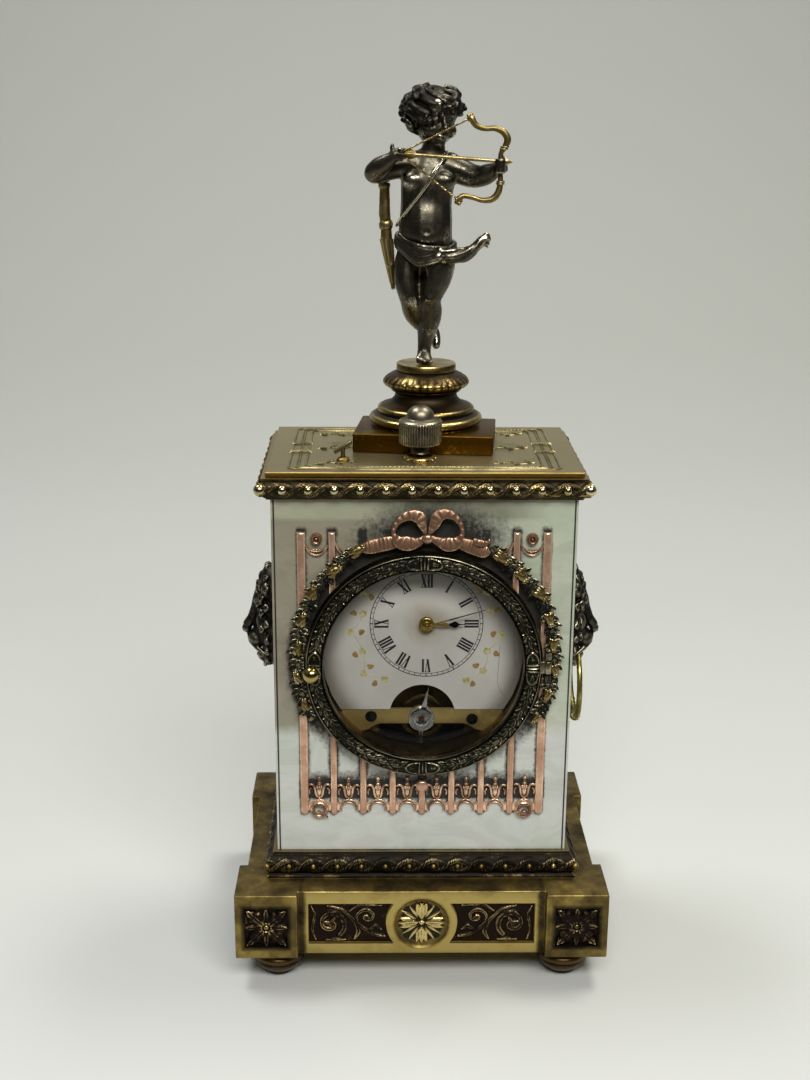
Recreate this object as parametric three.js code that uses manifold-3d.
// Antique mantel timepiece: gilt plinth, mother-of-pearl case, hinged laurel bezel over an
// eight-day movement with its balance in view, and a silvered archer on a turned socle.
// Millimetres, +Z up, the front faces -Y, and the origin is the middle of the footprint.
import * as THREE from 'three';
import { mergeVertices } from 'three/addons/utils/BufferGeometryUtils.js';
import Module from 'manifold-3d';

const wasm = await Module();
wasm.setup();

// Gaps that all pieces share
const clearance = 0.3;
const overrun = 1;

// Feet and plinth
const footHeight = 7.4;
const footRadius = 6.1;
const footNeckRadius = 3.6;
const footInset = 9.6;
const footSetback = 8;
const baseHalfWidth = 43.6;
const baseHalfDepth = 32.4;
const baseHeight = 16.5;
const cornerBlockLength = 14.6;
const friezeSetback = 2;
const pocketDepth = 0.9;
const tilePlate = 0.45;
const cornerTileSide = 9.8;
const centreRoundelRadius = 8.3;
const centreDishRadius = 6.6;
const centreFlowerRadius = 5.9;
const scrollPanelReach = 26.6;
const scrollPanelHeight = 10.6;
const scrollWireRadius = 0.42;

// Step moulding, case and cornice
const stepHeight = 6.4;
const stepFoot = 2.5;
const stepBulge = 3;
const stepTop = 1.1;
const caseHalfWidth = 34;
const caseHalfDepth = 21.9;
const caseHeight = 86.1;
const pearlThickness = 1.4;
const shellWall = 1.2;
const corniceHeight = 5;
const corniceBulge = 2.7;
const corniceFoot = 0.9;
const corniceTop = 1.9;
const beadRadius = 0.83;
const frontBeads = 12;
const sideBeads = 8;
const beadMargin = 2.8;
const topPlateThickness = 1.2;
const topPlateReach = 0.96;
const reedMargin = 4;
const reedWidth = 0.8;
const reedHeight = 0.35;
const reedCount = 3;

// Round opening, bezel, glass and dial
const dialDrop = 38.7;
const openingRadius = 24.3;
const seatTubeWall = 0.5;
const seatFlangeRadius = 26.8;
const seatFlangeThickness = 1.2;
const seatDepth = 10;
const seatLip = 2.4;
const roundSides = 32;
const bezelOuterRadius = 27.15;
const bezelInnerRadius = 22.65;
const bezelThickness = 2.6;
const wreathSwell = 0.75;
const wreathLeaves = 20;
const glassRadius = 23.1;
const glassThickness = 0.5;
const glassRebate = 1.5;
const knobRadius = 2;
const knobStemRadius = 0.8;
const hingeOffset = 1;
const hingeRadius = 0.85;
const hingePinRadius = 0.3;
const hingeBoreRadius = 0.5;
const hingeKnuckleLength = 3;
const hingeLeafWidth = 1.1;
const dialRadius = 23.1;
const dialThickness = 0.9;
const dialFrontDepth = 4;
const enamelEdgeDrop = 13.2;
const windowRadius = 7.65;
const windowDrop = 14.7;
const arborX = 0.8;
const arborRise = 8;
const dialBoreRadius = 1.65;

// Movement
const plateRadius = 22.4;
const plateThickness = 2;
const plateBehindDial = 2;
const trainSpace = 7;
const slotHalfWidth = 11.8;
const slotDrop = 4.9;
const pillarRadius = 1.3;
const pillarCircle = 17.5;
const barrelRadius = 19;
const barrelThickness = 6;
const barrelArborRadius = 2;
const balanceDrop = 15.7;
const balanceRadius = 5.3;
const balanceRim = 0.8;
const balanceThickness = 0.6;
const staffRadius = 0.3;
const bridgeHeight = 3.4;
const bridgeSpan = 19;
const bridgeThickness = 1;
const bridgeFootWidth = 6.6;
const bridgeScrewRadius = 1.35;
const bridgeScrewX = 11.8;
const jewelRadius = 3.1;
const jewelThickness = 0.5;
const indexLength = 7.6;
const indexTail = 6.2;
const indexThickness = 0.25;
const hairspringTurns = 3;
const hairspringInner = 0.9;
const hairspringOuter = 3.6;
const hairspringWire = 0.12;

// Motion work and hands
const cannonTeeth = 12;
const minuteWheelTeeth = 36;
const minutePinionTeeth = 10;
const hourWheelTeeth = 40;
const motionCentres = 5.2;
const toothBite = 0.3;
const gearThickness = 0.4;
const arborRadius = 0.45;
const cannonRadius = 0.65;
const pipeInnerRadius = 0.9;
const pipeOuterRadius = 1.3;
const handThickness = 0.25;
const handLift = 1;
const handGap = 0.45;
const hourHandLength = 8.2;
const hourHubRadius = 1.75;
const minuteHandLength = 13.5;
const minuteHubRadius = 1.1;
const hourHandTurn = 1;
const minuteHandTurn = 17;

// Trellis, flowers, bow and garlands
const barCount = 9;
const barPitch = 6.85;
const barWidth = 1.5;
const outerBarWidth = 1.9;
const barThickness = 0.8;
const trellisFoot = 9.4;
const trellisTop = 7.6;
const archRise = 1.2;
const archRadius = 2.65;
const archWidth = 0.75;
const centreBarLength = 7.2;
const centrePinRadius = 1.45;
const bellDrop = 4.2;
const bellHeight = 3.6;
const bellRadius = 1.25;
const bellBead = 0.62;
const cellRosetteRadius = 1.9;
const swagDrop = 3.8;
const swagWire = 0.4;
const bowRise = 30;
const bowSpread = 4.25;
const bowLoopWidth = 4.1;
const bowLoopHeight = 4.6;
const bowThickness = 2;
const garlandRadius = 29;
const garlandStart = 34;
const garlandEnd = 128;
const garlandLeaves = 15;
const leafWidth = 1.25;
const leafHeight = 0.85;

// Lion masks and ring handle
const maskDrop = 35.2;
const maneHalfWidth = 9.2;
const maneHalfHeight = 14.2;
const maneThickness = 3.6;
const maskReach = 9.3;
const ringWireRadius = 0.85;
const ringMeanRadius = 9;
const ringDrop = 7.6;
const ringOut = 3.9;
const jawHoleRadius = 1.55;

// Winding crown and set pin
const crownX = -0.85;
const crownY = -11.1;
const crownHeadRadius = 4.95;
const crownHeadHeight = 5.3;
const crownDomeRadius = 3.2;
const crownDomeHeight = 3.4;
const crownNeckRadius = 2.8;
const crownNeckHeight = 2.3;
const crownFlutes = 18;
const collarRadius = 3.9;
const collarHeight = 1.2;
const stemRadius = 0.8;
const pinX = -18.2;
const pinY = -12.2;
const pinRadius = 0.5;
const pinHeight = 3.2;
const pinTravel = 0.8;
const pinHeadLength = 4.6;
const pinHeadWidth = 1.5;
const pinHeadThickness = 0.9;
const pinHeadTilt = 30;
const pinBushRadius = 1.6;
const pinBushHeight = 0.9;

// Pedestal and figure
const pedestalTurn = -6;
const pedestalX = 0.85;
const pedestalY = 4.2;
const pedestalWidth = 32.2;
const pedestalDepth = 20;
const pedestalHeight = 4.4;
const socleX = 0.9;
const socleY = 7.4;
const socleRadius = 13.3;
const socleHeight = 14.5;
const figureHeight = 62.8;

// Heights and depths that follow from the sizes above
const baseTop = footHeight + baseHeight;
const caseBottom = baseTop + stepHeight;
const caseTop = caseBottom + caseHeight;
const dialHeight = caseTop - dialDrop;
const maskHeight = caseTop - maskDrop;
const plateBottom = caseTop + corniceHeight;
const plateTop = plateBottom + topPlateThickness;
const socleBottom = plateTop + pedestalHeight;
const figureFoot = socleBottom + socleHeight;
const caseFront = -caseHalfDepth;
const friezeFront = -(baseHalfDepth - friezeSetback);
const dialFront = caseFront + dialFrontDepth;
const dialBack = dialFront + dialThickness;
const mainPlateFront = dialBack + plateBehindDial;
const mainPlateBack = mainPlateFront + plateThickness;
const backPlateFront = mainPlateBack + trainSpace;
const backPlateBack = backPlateFront + plateThickness;
const seatFront = caseFront - seatFlangeThickness;
const bezelBack = seatFront - clearance;
const bezelFront = bezelBack - bezelThickness;
const glassFront = bezelBack - glassRebate;
const hingeX = bezelOuterRadius + hingeOffset;
const hingeY = glassFront + clearance;
const arborZ = dialHeight + arborRise;
const balanceZ = dialHeight - balanceDrop;

// Finishes
const gilt = metal(0x94803f, 0.42);
const darkGilt = metal(0x5d5138, 0.5);
const agedSilver = metal(0x4b463d, 0.45);
const figureSilver = metal(0x4f4c45, 0.38);
const roseGold = metal(0xc4906f, 0.35);
const plateBrass = metal(0xa98c4a, 0.4);
const steel = metal(0x8d8c88, 0.3);
const blackened = metal(0x2b2a26, 0.4);
const pearl = new THREE.MeshStandardMaterial({ color: 0xc9cac2, roughness: 0.25, metalness: 0 });
const enamel = new THREE.MeshStandardMaterial({ color: 0xe6e0e4, roughness: 0.2, metalness: 0 });
const crystal = new THREE.MeshStandardMaterial({
  color: 0xf4f8f8, roughness: 0.05, metalness: 0, transparent: true, opacity: 0.25,
});

function metal(color, roughness) {
  return new THREE.MeshStandardMaterial({ color, roughness, metalness: 1 });
}

// A closed solid from any geometry: merged corners, faces turned outwards
function solid(geometry) {
  const bare = geometry.clone();
  for (const name of Object.keys(bare.attributes)) {
    if (name !== 'position') bare.deleteAttribute(name);
  }
  const merged = mergeVertices(bare);
  const points = merged.attributes.position.array;
  const corners = [];
  for (let i = 0; i < merged.index.count; i += 3) {
    const [a, b, c] = [merged.index.getX(i), merged.index.getX(i + 1), merged.index.getX(i + 2)];
    if (a !== b && b !== c && c !== a) corners.push(a, b, c);
  }
  if (signedVolume(points, corners) < 0) corners.reverse();
  return new wasm.Manifold(new wasm.Mesh({
    numProp: 3,
    vertProperties: new Float32Array(points),
    triVerts: new Uint32Array(corners),
  }));
}

function signedVolume(points, corners) {
  const at = (i) => new THREE.Vector3().fromArray(points, 3 * i);
  let sum = 0;
  for (let i = 0; i < corners.length; i += 3) {
    sum += at(corners[i]).dot(at(corners[i + 1]).cross(at(corners[i + 2])));
  }
  return sum;
}

function fuse(parts) {
  return parts.reduce((whole, part) => whole.add(part));
}

// Rectangular block, standing on its z
function block(width, depth, height, x, y, z) {
  return new THREE.BoxGeometry(width, depth, height).translate(x, y, z + height / 2);
}

// Turned form round +Z, from a profile of radius and height pairs
function turned(profile, sides) {
  const points = profile.map(([radius, height]) => new THREE.Vector2(radius, height));
  return new THREE.LatheGeometry(points, sides).rotateX(Math.PI / 2);
}

// Upright rod between two heights
function rod(radius, bottom, top, sides, x, y) {
  return turned([[0, bottom], [radius, bottom], [radius, top], [0, top]], sides).translate(x, y, 0);
}

// Turns a form that stands on the XY plane so that it stands out of the front, at y
function onFront(geometry, x, y, z) {
  return geometry.rotateX(Math.PI / 2).translate(x, y, z);
}

// Disc or ring about a front-to-back axis, from y = back forward to y = front
function frontDisc(radius, bore, back, front, sides, x, z) {
  const length = back - front;
  const profile = bore > 0
    ? [[bore, 0], [radius, 0], [radius, length], [bore, length], [bore, 0]]
    : [[0, 0], [radius, 0], [radius, length], [0, length]];
  return onFront(turned(profile, sides), x, back, z);
}

// Flat form cut from an outline, from y = back forward by its thickness
function frontPlate(shape, thickness, x, back, z, curveSteps) {
  const settings = { depth: thickness, bevelEnabled: false, curveSegments: curveSteps };
  return onFront(new THREE.ExtrudeGeometry(shape, settings), x, back, z);
}

// Closed skin over rings of equal count, with a fan over each end
function loft(rings) {
  const count = rings[0].length;
  const points = rings.flat();
  const middle = (ring) => ring.reduce((sum, p) => sum.add(p), new THREE.Vector3()).divideScalar(count);
  points.push(middle(rings[0]), middle(rings[rings.length - 1]));
  const first = points.length - 2;
  const last = points.length - 1;
  const faces = [];
  for (let j = 0; j < count; j++) {
    const k = (j + 1) % count;
    for (let i = 0; i + 1 < rings.length; i++) {
      const [a, b, c, d] = [i * count + j, i * count + k, (i + 1) * count + k, (i + 1) * count + j];
      faces.push(a, b, c, a, c, d);
    }
    const top = (rings.length - 1) * count;
    faces.push(first, k, j, last, top + j, top + k);
  }
  const geometry = new THREE.BufferGeometry();
  geometry.setAttribute('position', new THREE.Float32BufferAttribute(points.flatMap((p) => p.toArray()), 3));
  geometry.setIndex(faces);
  return geometry;
}

// Limb through stations of a place, a half width across the view and a half depth along it
function limb(stations, sides) {
  const rings = stations.map((station, i) => {
    const before = stations[Math.max(i - 1, 0)].place;
    const after = stations[Math.min(i + 1, stations.length - 1)].place;
    const along = after.clone().sub(before).normalize();
    const reference = Math.abs(along.y) > 0.9 ? new THREE.Vector3(0, 0, 1) : new THREE.Vector3(0, 1, 0);
    const across = along.clone().cross(reference).normalize();
    const deep = across.clone().cross(along).normalize();
    return ringOf(sides, (turn) => station.place.clone()
      .addScaledVector(across, station.wide * Math.cos(turn))
      .addScaledVector(deep, station.deep * Math.sin(turn)));
  });
  return loft(rings);
}

function ringOf(sides, pointAt) {
  return Array.from({ length: sides }, (_, j) => pointAt((2 * Math.PI * j) / sides));
}

// Ball squeezed to three radii
function egg(rx, ry, rz, x, y, z, sides, rows) {
  return new THREE.SphereGeometry(1, sides, rows).rotateX(Math.PI / 2).scale(rx, ry, rz).translate(x, y, z);
}

// Wire of round section along a curve
function wire(curve, radius, steps, sides) {
  const section = new THREE.Shape(ringOf(sides, (turn) =>
    new THREE.Vector2(radius * Math.cos(turn), radius * Math.sin(turn))));
  return new THREE.ExtrudeGeometry(section, { steps, bevelEnabled: false, extrudePath: curve });
}

// Flower or mane standing on the XY plane: a domed disc whose rim and height swell at each petal
function flower(petals, radius, height, notch, eye, rows, stepsPerPetal) {
  const sides = stepsPerPetal * petals;
  const swell = (turn) => Math.abs(Math.cos((petals * turn) / 2));
  const ring = (share, lift) => ringOf(sides, (turn) => {
    const reach = radius * share * (1 - notch * share * (1 - swell(turn)));
    return new THREE.Vector3(reach * Math.cos(turn), reach * Math.sin(turn), lift(swell(turn)));
  });
  const rings = [ring(1, () => 0)];
  for (let i = 0; i < rows; i++) {
    const share = 1 - i / rows;
    const crown = Math.sin(Math.PI * (0.35 + 0.5 * (1 - share)));
    rings.push(ring(share, (petal) => height * (0.35 + 0.65 * petal * crown)));
  }
  rings.push(ring(eye, () => height * 0.6), ring(eye * 0.6, () => height));
  return loft(rings);
}

// Foot: a bun with a ring above it and a short neck
function foot(x, y) {
  const neckHeight = footHeight * 0.28;
  const bunHeight = footHeight - neckHeight;
  const profile = [
    [0, 0], [footRadius * 0.5, 0], [footRadius * 0.86, bunHeight * 0.2], [footRadius, bunHeight * 0.5],
    [footNeckRadius, bunHeight], [footNeckRadius, footHeight], [0, footHeight],
  ];
  return solid(turned(profile, 14).translate(x, y, 0));
}

// Outline of a scroll panel: a bar hollowed at its inner end round the centre roundel
function scrollPanelShape(inset) {
  const half = scrollPanelHeight / 2 - inset;
  const reach = scrollPanelReach - inset;
  const hollow = centreRoundelRadius + inset;
  const angle = Math.asin(half / hollow);
  const shape = new THREE.Shape();
  shape.moveTo(reach, -half);
  shape.lineTo(reach, half);
  shape.absarc(0, 0, hollow, angle, -angle, true);
  shape.closePath();
  return shape;
}

const plinthMiddle = footHeight + baseHeight * 0.485;

// Plinth outline: square corner blocks stand forward of the frieze on every side
function plinthOutline() {
  const [w, d] = [baseHalfWidth, baseHalfDepth];
  const corner = [[w - friezeSetback, d - cornerBlockLength], [w, d - cornerBlockLength], [w, d],
    [w - cornerBlockLength, d], [w - cornerBlockLength, d - friezeSetback]];
  const turnedTo = (sx, sy) => {
    const points = corner.map(([x, y]) => new THREE.Vector2(sx * x, sy * y));
    return sx * sy < 0 ? points.reverse() : points;
  };
  return new THREE.Shape([...turnedTo(1, 1), ...turnedTo(-1, 1), ...turnedTo(-1, -1), ...turnedTo(1, -1)]);
}

function basePlinth() {
  const blockX = baseHalfWidth - cornerBlockLength / 2;
  const outline = new THREE.ExtrudeGeometry(plinthOutline(), { depth: baseHeight, bevelEnabled: false });
  const body = solid(outline.translate(0, 0, footHeight));
  const cuts = [];
  const deep = pocketDepth + overrun;
  const side = cornerTileSide;
  for (const sx of [-1, 1]) {
    const y = -baseHalfDepth + pocketDepth - deep / 2;
    cuts.push(solid(block(side, deep, side, sx * blockX, y, plinthMiddle - side / 2)));
    const panel = frontPlate(scrollPanelShape(0), deep, 0, friezeFront + pocketDepth, plinthMiddle, 3);
    cuts.push(solid(panel.scale(sx, 1, 1)));
  }
  const dish = [[0, 0], [centreDishRadius * 0.92, 0], [centreDishRadius, pocketDepth],
    [centreDishRadius, deep], [0, deep]];
  cuts.push(solid(onFront(turned(dish, 20), 0, friezeFront + pocketDepth, plinthMiddle)));
  return body.subtract(fuse(cuts));
}

// Square tile with an eight-petalled flower, for a corner block
function cornerTile(sign) {
  const side = cornerTileSide - 2 * clearance;
  const x = sign * (baseHalfWidth - cornerBlockLength / 2);
  const back = -baseHalfDepth + pocketDepth;
  const plate = block(side, tilePlate, side, x, back - tilePlate / 2, plinthMiddle - side / 2);
  const petals = flower(8, side * 0.49, pocketDepth, 0.3, 0.26, 1, 2);
  return solid(plate).add(solid(onFront(petals, x, back, plinthMiddle)));
}

// Flower with four broad and four narrow petals, for the centre dish
function centreFlower() {
  const back = friezeFront + pocketDepth;
  const broad = flower(4, centreFlowerRadius, pocketDepth, 0.55, 0.2, 2, 4);
  const narrow = flower(4, centreFlowerRadius * 0.85, pocketDepth * 0.8, 0.7, 0.2, 1, 4).rotateZ(Math.PI / 4);
  return fuse([broad, narrow].map((petals) => solid(onFront(petals, 0, back, plinthMiddle))));
}

// Spiral tendril in the plane of the frieze
function tendril(x, z, radius, startTurn, turns, sign) {
  const points = Array.from({ length: 9 }, (_, i) => {
    const share = i / 8;
    const turn = startTurn + sign * 2 * Math.PI * turns * share;
    const reach = radius * (1 - 0.72 * share);
    return new THREE.Vector3(x + reach * Math.cos(turn), z + reach * Math.sin(turn), 0);
  });
  return new THREE.CatmullRomCurve3(points);
}

function scrollPanel(sign) {
  const back = friezeFront + pocketDepth;
  const inner = centreRoundelRadius;
  const length = scrollPanelReach - inner;
  const reach = scrollPanelHeight * 0.34;
  const plate = frontPlate(scrollPanelShape(clearance), tilePlate, 0, back, plinthMiddle, 3);
  const parts = [solid(plate.scale(sign, 1, 1))];
  for (const [share, turn, way] of [[0.34, Math.PI, 1], [0.74, 0, 1]]) {
    const curve = tendril(inner + length * share, 0, reach, turn, 1.35, way);
    const scroll = onFront(wire(curve, scrollWireRadius, 12, 4), 0, back - tilePlate, plinthMiddle);
    parts.push(solid(scroll.scale(sign, 1, 1)));
  }
  return fuse(parts);
}

// Stack of rectangles: a moulded slab from a profile of reach and height pairs
function mouldedSlab(profile, halfWidth, halfDepth, bottom) {
  const rings = profile.map(([reach, height]) => {
    const [x, y, z] = [halfWidth + reach, halfDepth + reach, bottom + height];
    return [[x, y], [-x, y], [-x, -y], [x, -y]].map(([cx, cy]) => new THREE.Vector3(cx, cy, z));
  });
  return loft(rings);
}

// Beads along the front and the sides of a moulding
function beadRow(reach, z) {
  const x = caseHalfWidth + reach;
  const y = caseHalfDepth + reach;
  const spread = (count, half) => Array.from({ length: count }, (_, i) =>
    -(half - beadMargin) + (2 * (half - beadMargin) * i) / (count - 1));
  const places = [
    ...spread(frontBeads, caseHalfWidth).map((s) => [s, -y]),
    ...spread(sideBeads, caseHalfDepth).flatMap((s) => [[-x, s], [x, s]]),
    [-x, -y], [x, -y],
  ];
  return places.map(([px, py]) => solid(egg(beadRadius, beadRadius, beadRadius, px, py, z, 4, 3)));
}

// Moulding with a flat bead band between two hollows: heights as shares, reaches as lengths
function beadedMoulding(bottom, height, footReach, bandReach, headReach) {
  const profile = [[footReach, 0], [footReach, height * 0.13], [bandReach * 0.5, height * 0.21],
    [bandReach, height * 0.32], [bandReach, height * 0.68], [bandReach * 0.5, height * 0.79],
    [headReach, height * 0.87], [headReach, height]];
  return fuse([solid(mouldedSlab(profile, caseHalfWidth, caseHalfDepth, bottom)),
    ...beadRow(bandReach, bottom + height / 2)]);
}

function stepMoulding() {
  return beadedMoulding(baseTop, stepHeight, stepFoot, stepBulge - beadRadius / 2, stepTop);
}

function cornice() {
  const body = beadedMoulding(caseTop, corniceHeight, corniceFoot, corniceBulge - beadRadius / 2, corniceTop);
  return body.subtract(stemHoles(caseTop - overrun, plateTop + overrun));
}

// Holes for the winding stem and the set pin
function stemHoles(bottom, top) {
  return solid(rod(stemRadius + clearance, bottom, top, 8, crownX, crownY))
    .add(solid(rod(pinRadius + clearance, bottom, top, 8, pinX, pinY)));
}

// Rectangular rib with a peaked section, lying on the top plate
function ribFrame(halfWidth, halfDepth, width, height, bottom) {
  const corners = (reach, z) => [[1, 1], [-1, 1], [-1, -1], [1, -1]].map(([sx, sy]) =>
    new THREE.Vector3(sx * (halfWidth + reach), sy * (halfDepth + reach), z));
  const outer = solid(loft([corners(width / 2, bottom), corners(0, bottom + height)]));
  const inner = solid(loft([corners(-width / 2, bottom - overrun), corners(-width / 2, bottom),
    corners(0, bottom + height), corners(0, bottom + height + overrun)]));
  return outer.subtract(inner);
}

function topPlate() {
  const halfWidth = caseHalfWidth + topPlateReach;
  const halfDepth = caseHalfDepth + topPlateReach;
  const slab = solid(block(2 * halfWidth, 2 * halfDepth, topPlateThickness, 0, 0, plateBottom));
  const parts = [slab];
  for (let i = 0; i < reedCount; i++) {
    const inset = reedMargin + reedWidth * (i + 0.5);
    parts.push(solid(block(2 * (halfWidth - inset) + reedWidth * 0.7, 2 * (halfDepth - inset) + reedWidth * 0.7,
      reedHeight + overrun, 0, 0, plateTop - overrun))
      .subtract(solid(block(2 * (halfWidth - inset) - reedWidth * 0.7, 2 * (halfDepth - inset) - reedWidth * 0.7,
        reedHeight + 2 * overrun, 0, 0, plateTop - 1.5 * overrun))));
  }
  const sprig = reedMargin + reedWidth * reedCount + cellRosetteRadius;
  for (const sx of [-1, 1]) {
    for (const sy of [-1, 1]) {
      const petals = flower(5, cellRosetteRadius, reedHeight + topPlateThickness / 2, 0.4, 0.5, 0, 2);
      parts.push(solid(petals.translate(sx * (halfWidth - sprig), sy * (halfDepth - sprig),
        plateTop - topPlateThickness / 2)));
    }
  }
  return fuse(parts).subtract(stemHoles(plateBottom - overrun, plateTop + overrun));
}

// Case: pearl panels on a thin metal shell, the front ones bored for the movement
function frontOpening() {
  return solid(frontDisc(openingRadius, 0, caseFront + 2 * seatDepth, caseFront - overrun, roundSides, 0, dialHeight));
}

function frontPanel(sign) {
  const y = sign * (caseHalfDepth - pearlThickness / 2);
  const panel = solid(block(2 * caseHalfWidth, pearlThickness, caseHeight, 0, y, caseBottom));
  return sign < 0 ? panel.subtract(frontOpening()) : panel;
}

function sidePanel(sign) {
  const x = sign * (caseHalfWidth - pearlThickness / 2);
  const depth = 2 * (caseHalfDepth - pearlThickness);
  return solid(block(pearlThickness, depth, caseHeight, x, 0, caseBottom));
}

function caseShell() {
  const width = 2 * (caseHalfWidth - pearlThickness);
  const depth = 2 * (caseHalfDepth - pearlThickness);
  const outer = solid(block(width, depth, caseHeight, 0, 0, caseBottom));
  const inner = solid(block(width - 2 * shellWall, depth - 2 * shellWall, caseHeight + 2 * overrun, 0, 0,
    caseBottom - overrun));
  return outer.subtract(inner).subtract(frontOpening());
}

// Fixed seat: a flange on the front panel and a tube that holds the movement against its rear lip
function bezelSeat() {
  const outer = openingRadius - clearance;
  const inner = outer - seatTubeWall;
  const tubeEnd = -(mainPlateBack - caseFront);
  const flange = seatFlangeThickness;
  const profile = [[inner, flange], [inner, tubeEnd], [inner - seatLip, tubeEnd], [inner - seatLip, tubeEnd - seatTubeWall],
    [outer, tubeEnd - seatTubeWall], [outer, 0], [seatFlangeRadius, 0], [seatFlangeRadius, flange * 0.6],
    [seatFlangeRadius - flange * 0.4, flange], [inner, flange]];
  return solid(onFront(turned(profile, roundSides), 0, caseFront, dialHeight));
}

// Laurel bezel: a ring whose swollen back rises and falls leaf by leaf, tied at four points
function bezelWreath() {
  const sections = 3 * wreathLeaves;
  const middle = (bezelOuterRadius + bezelInnerRadius) / 2;
  const width = (bezelOuterRadius - bezelInnerRadius) / 2;
  const depth = bezelThickness - wreathSwell;
  const rings = ringOf(sections, (turn) => {
    const quarter = turn / (Math.PI / 2);
    const tie = Math.abs(quarter - Math.round(quarter)) < 0.5 / wreathLeaves * 2;
    const phase = ((turn / (2 * Math.PI)) * wreathLeaves * 2) % 1;
    const leaf = tie ? 1 : 0.35 + 0.65 * Math.abs(2 * phase - 1);
    const section = [[glassRadius + clearance - middle, 0], [width, 0], [width, depth],
      [width * 0.55, depth + wreathSwell * leaf], [-width * 0.35, depth + wreathSwell * leaf],
      [-width, depth * 0.95], [-width, glassRebate], [glassRadius + clearance - middle, glassRebate]];
    return section.map(([out, rise]) => new THREE.Vector3(
      (middle + out) * Math.cos(turn), (middle + out) * Math.sin(turn), rise));
  });
  return closedSweep(rings);
}

// Closed skin over rings that run round and meet again
function closedSweep(rings) {
  const count = rings[0].length;
  const faces = [];
  for (let i = 0; i < rings.length; i++) {
    const next = (i + 1) % rings.length;
    for (let j = 0; j < count; j++) {
      const k = (j + 1) % count;
      const [a, b, c, d] = [i * count + j, i * count + k, next * count + k, next * count + j];
      faces.push(a, b, c, a, c, d);
    }
  }
  const geometry = new THREE.BufferGeometry();
  const places = rings.flat().flatMap((p) => p.toArray());
  geometry.setAttribute('position', new THREE.Float32BufferAttribute(places, 3));
  geometry.setIndex(faces);
  return geometry;
}

const halfKnuckle = hingeKnuckleLength / 2;

function bezel() {
  const ring = solid(onFront(bezelWreath(), 0, bezelBack, dialHeight));
  const arm = block(hingeX - bezelOuterRadius + bezelThickness / 2, hingeRadius, hingeKnuckleLength,
    (hingeX + bezelOuterRadius - bezelThickness / 2) / 2, hingeY, dialHeight - halfKnuckle);
  const knuckle = rod(hingeRadius, dialHeight - halfKnuckle, dialHeight + halfKnuckle, 12, hingeX, hingeY);
  const bore = rod(hingeBoreRadius, dialHeight - hingeKnuckleLength, dialHeight + hingeKnuckleLength, 10, hingeX, hingeY);
  return fuse([ring, solid(arm), solid(knuckle)]).subtract(solid(bore));
}

// Fixed hinge half: two knuckles on one leaf, which lies on the outer bar of the trellis
function hingeKnuckles() {
  const seat = caseFront - barThickness;
  const reach = halfKnuckle + clearance + hingeKnuckleLength * 0.6;
  const strip = block(hingeLeafWidth, barThickness / 2, 2 * reach, hingeX, seat - barThickness / 4, dialHeight - reach);
  const parts = [solid(strip)];
  for (const sign of [-1, 1]) {
    const bottom = dialHeight + sign * (halfKnuckle + clearance) - (sign < 0 ? hingeKnuckleLength * 0.6 : 0);
    const top = bottom + hingeKnuckleLength * 0.6;
    const knuckle = solid(rod(hingeRadius, bottom, top, 12, hingeX, hingeY));
    const leaf = block(hingeLeafWidth, seat - hingeY, top - bottom, hingeX, (seat + hingeY) / 2, bottom);
    const bore = rod(hingeBoreRadius, bottom - overrun, top + overrun, 10, hingeX, hingeY);
    parts.push(knuckle.add(solid(leaf)).subtract(solid(bore)));
  }
  return fuse(parts);
}

function hingePin() {
  const half = halfKnuckle + clearance + hingeKnuckleLength * 0.6 + clearance;
  const head = hingeBoreRadius;
  const profile = [[0, -half - head], [head, -half - head / 2], [head, -half], [hingePinRadius, -half],
    [hingePinRadius, half], [head, half], [head, half + head / 2], [0, half + head]];
  return solid(turned(profile, 8).translate(hingeX, hingeY, dialHeight));
}

function bezelKnob() {
  const x = -(bezelOuterRadius + bezelInnerRadius) / 2;
  const neck = clearance + knobRadius * 0.4;
  const profile = [[0, 0], [knobStemRadius, 0], [knobStemRadius, neck], [knobRadius * 0.8, neck + knobRadius * 0.3],
    [knobRadius, neck + knobRadius * 0.9], [knobRadius * 0.8, neck + knobRadius * 1.5],
    [knobRadius * 0.4, neck + knobRadius * 1.85], [0, neck + knobRadius * 1.9]];
  return solid(onFront(turned(profile, 12), x, bezelFront - clearance, dialHeight - knobRadius * 1.5));
}

// Enamel dial: a disc with its foot cut away and a round-headed window for the balance
function dial() {
  const corner = Math.sqrt(dialRadius ** 2 - enamelEdgeDrop ** 2);
  const start = Math.atan2(-enamelEdgeDrop, corner);
  const shape = new THREE.Shape();
  const windowHalf = Math.sqrt(windowRadius ** 2 - (windowDrop - enamelEdgeDrop) ** 2);
  const windowStart = Math.asin((windowDrop - enamelEdgeDrop) / windowRadius);
  shape.moveTo(windowHalf, -enamelEdgeDrop);
  shape.lineTo(corner, -enamelEdgeDrop);
  shape.absarc(0, 0, dialRadius, start, Math.PI - start, false);
  shape.lineTo(-windowHalf, -enamelEdgeDrop);
  shape.absarc(0, -windowDrop, windowRadius, Math.PI - windowStart, windowStart, true);
  shape.closePath();
  shape.holes.push(new THREE.Path().absarc(arborX, arborRise, dialBoreRadius, 0, 2 * Math.PI, true));
  return solid(frontPlate(shape, dialThickness, 0, dialBack, dialHeight, 12));
}

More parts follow.
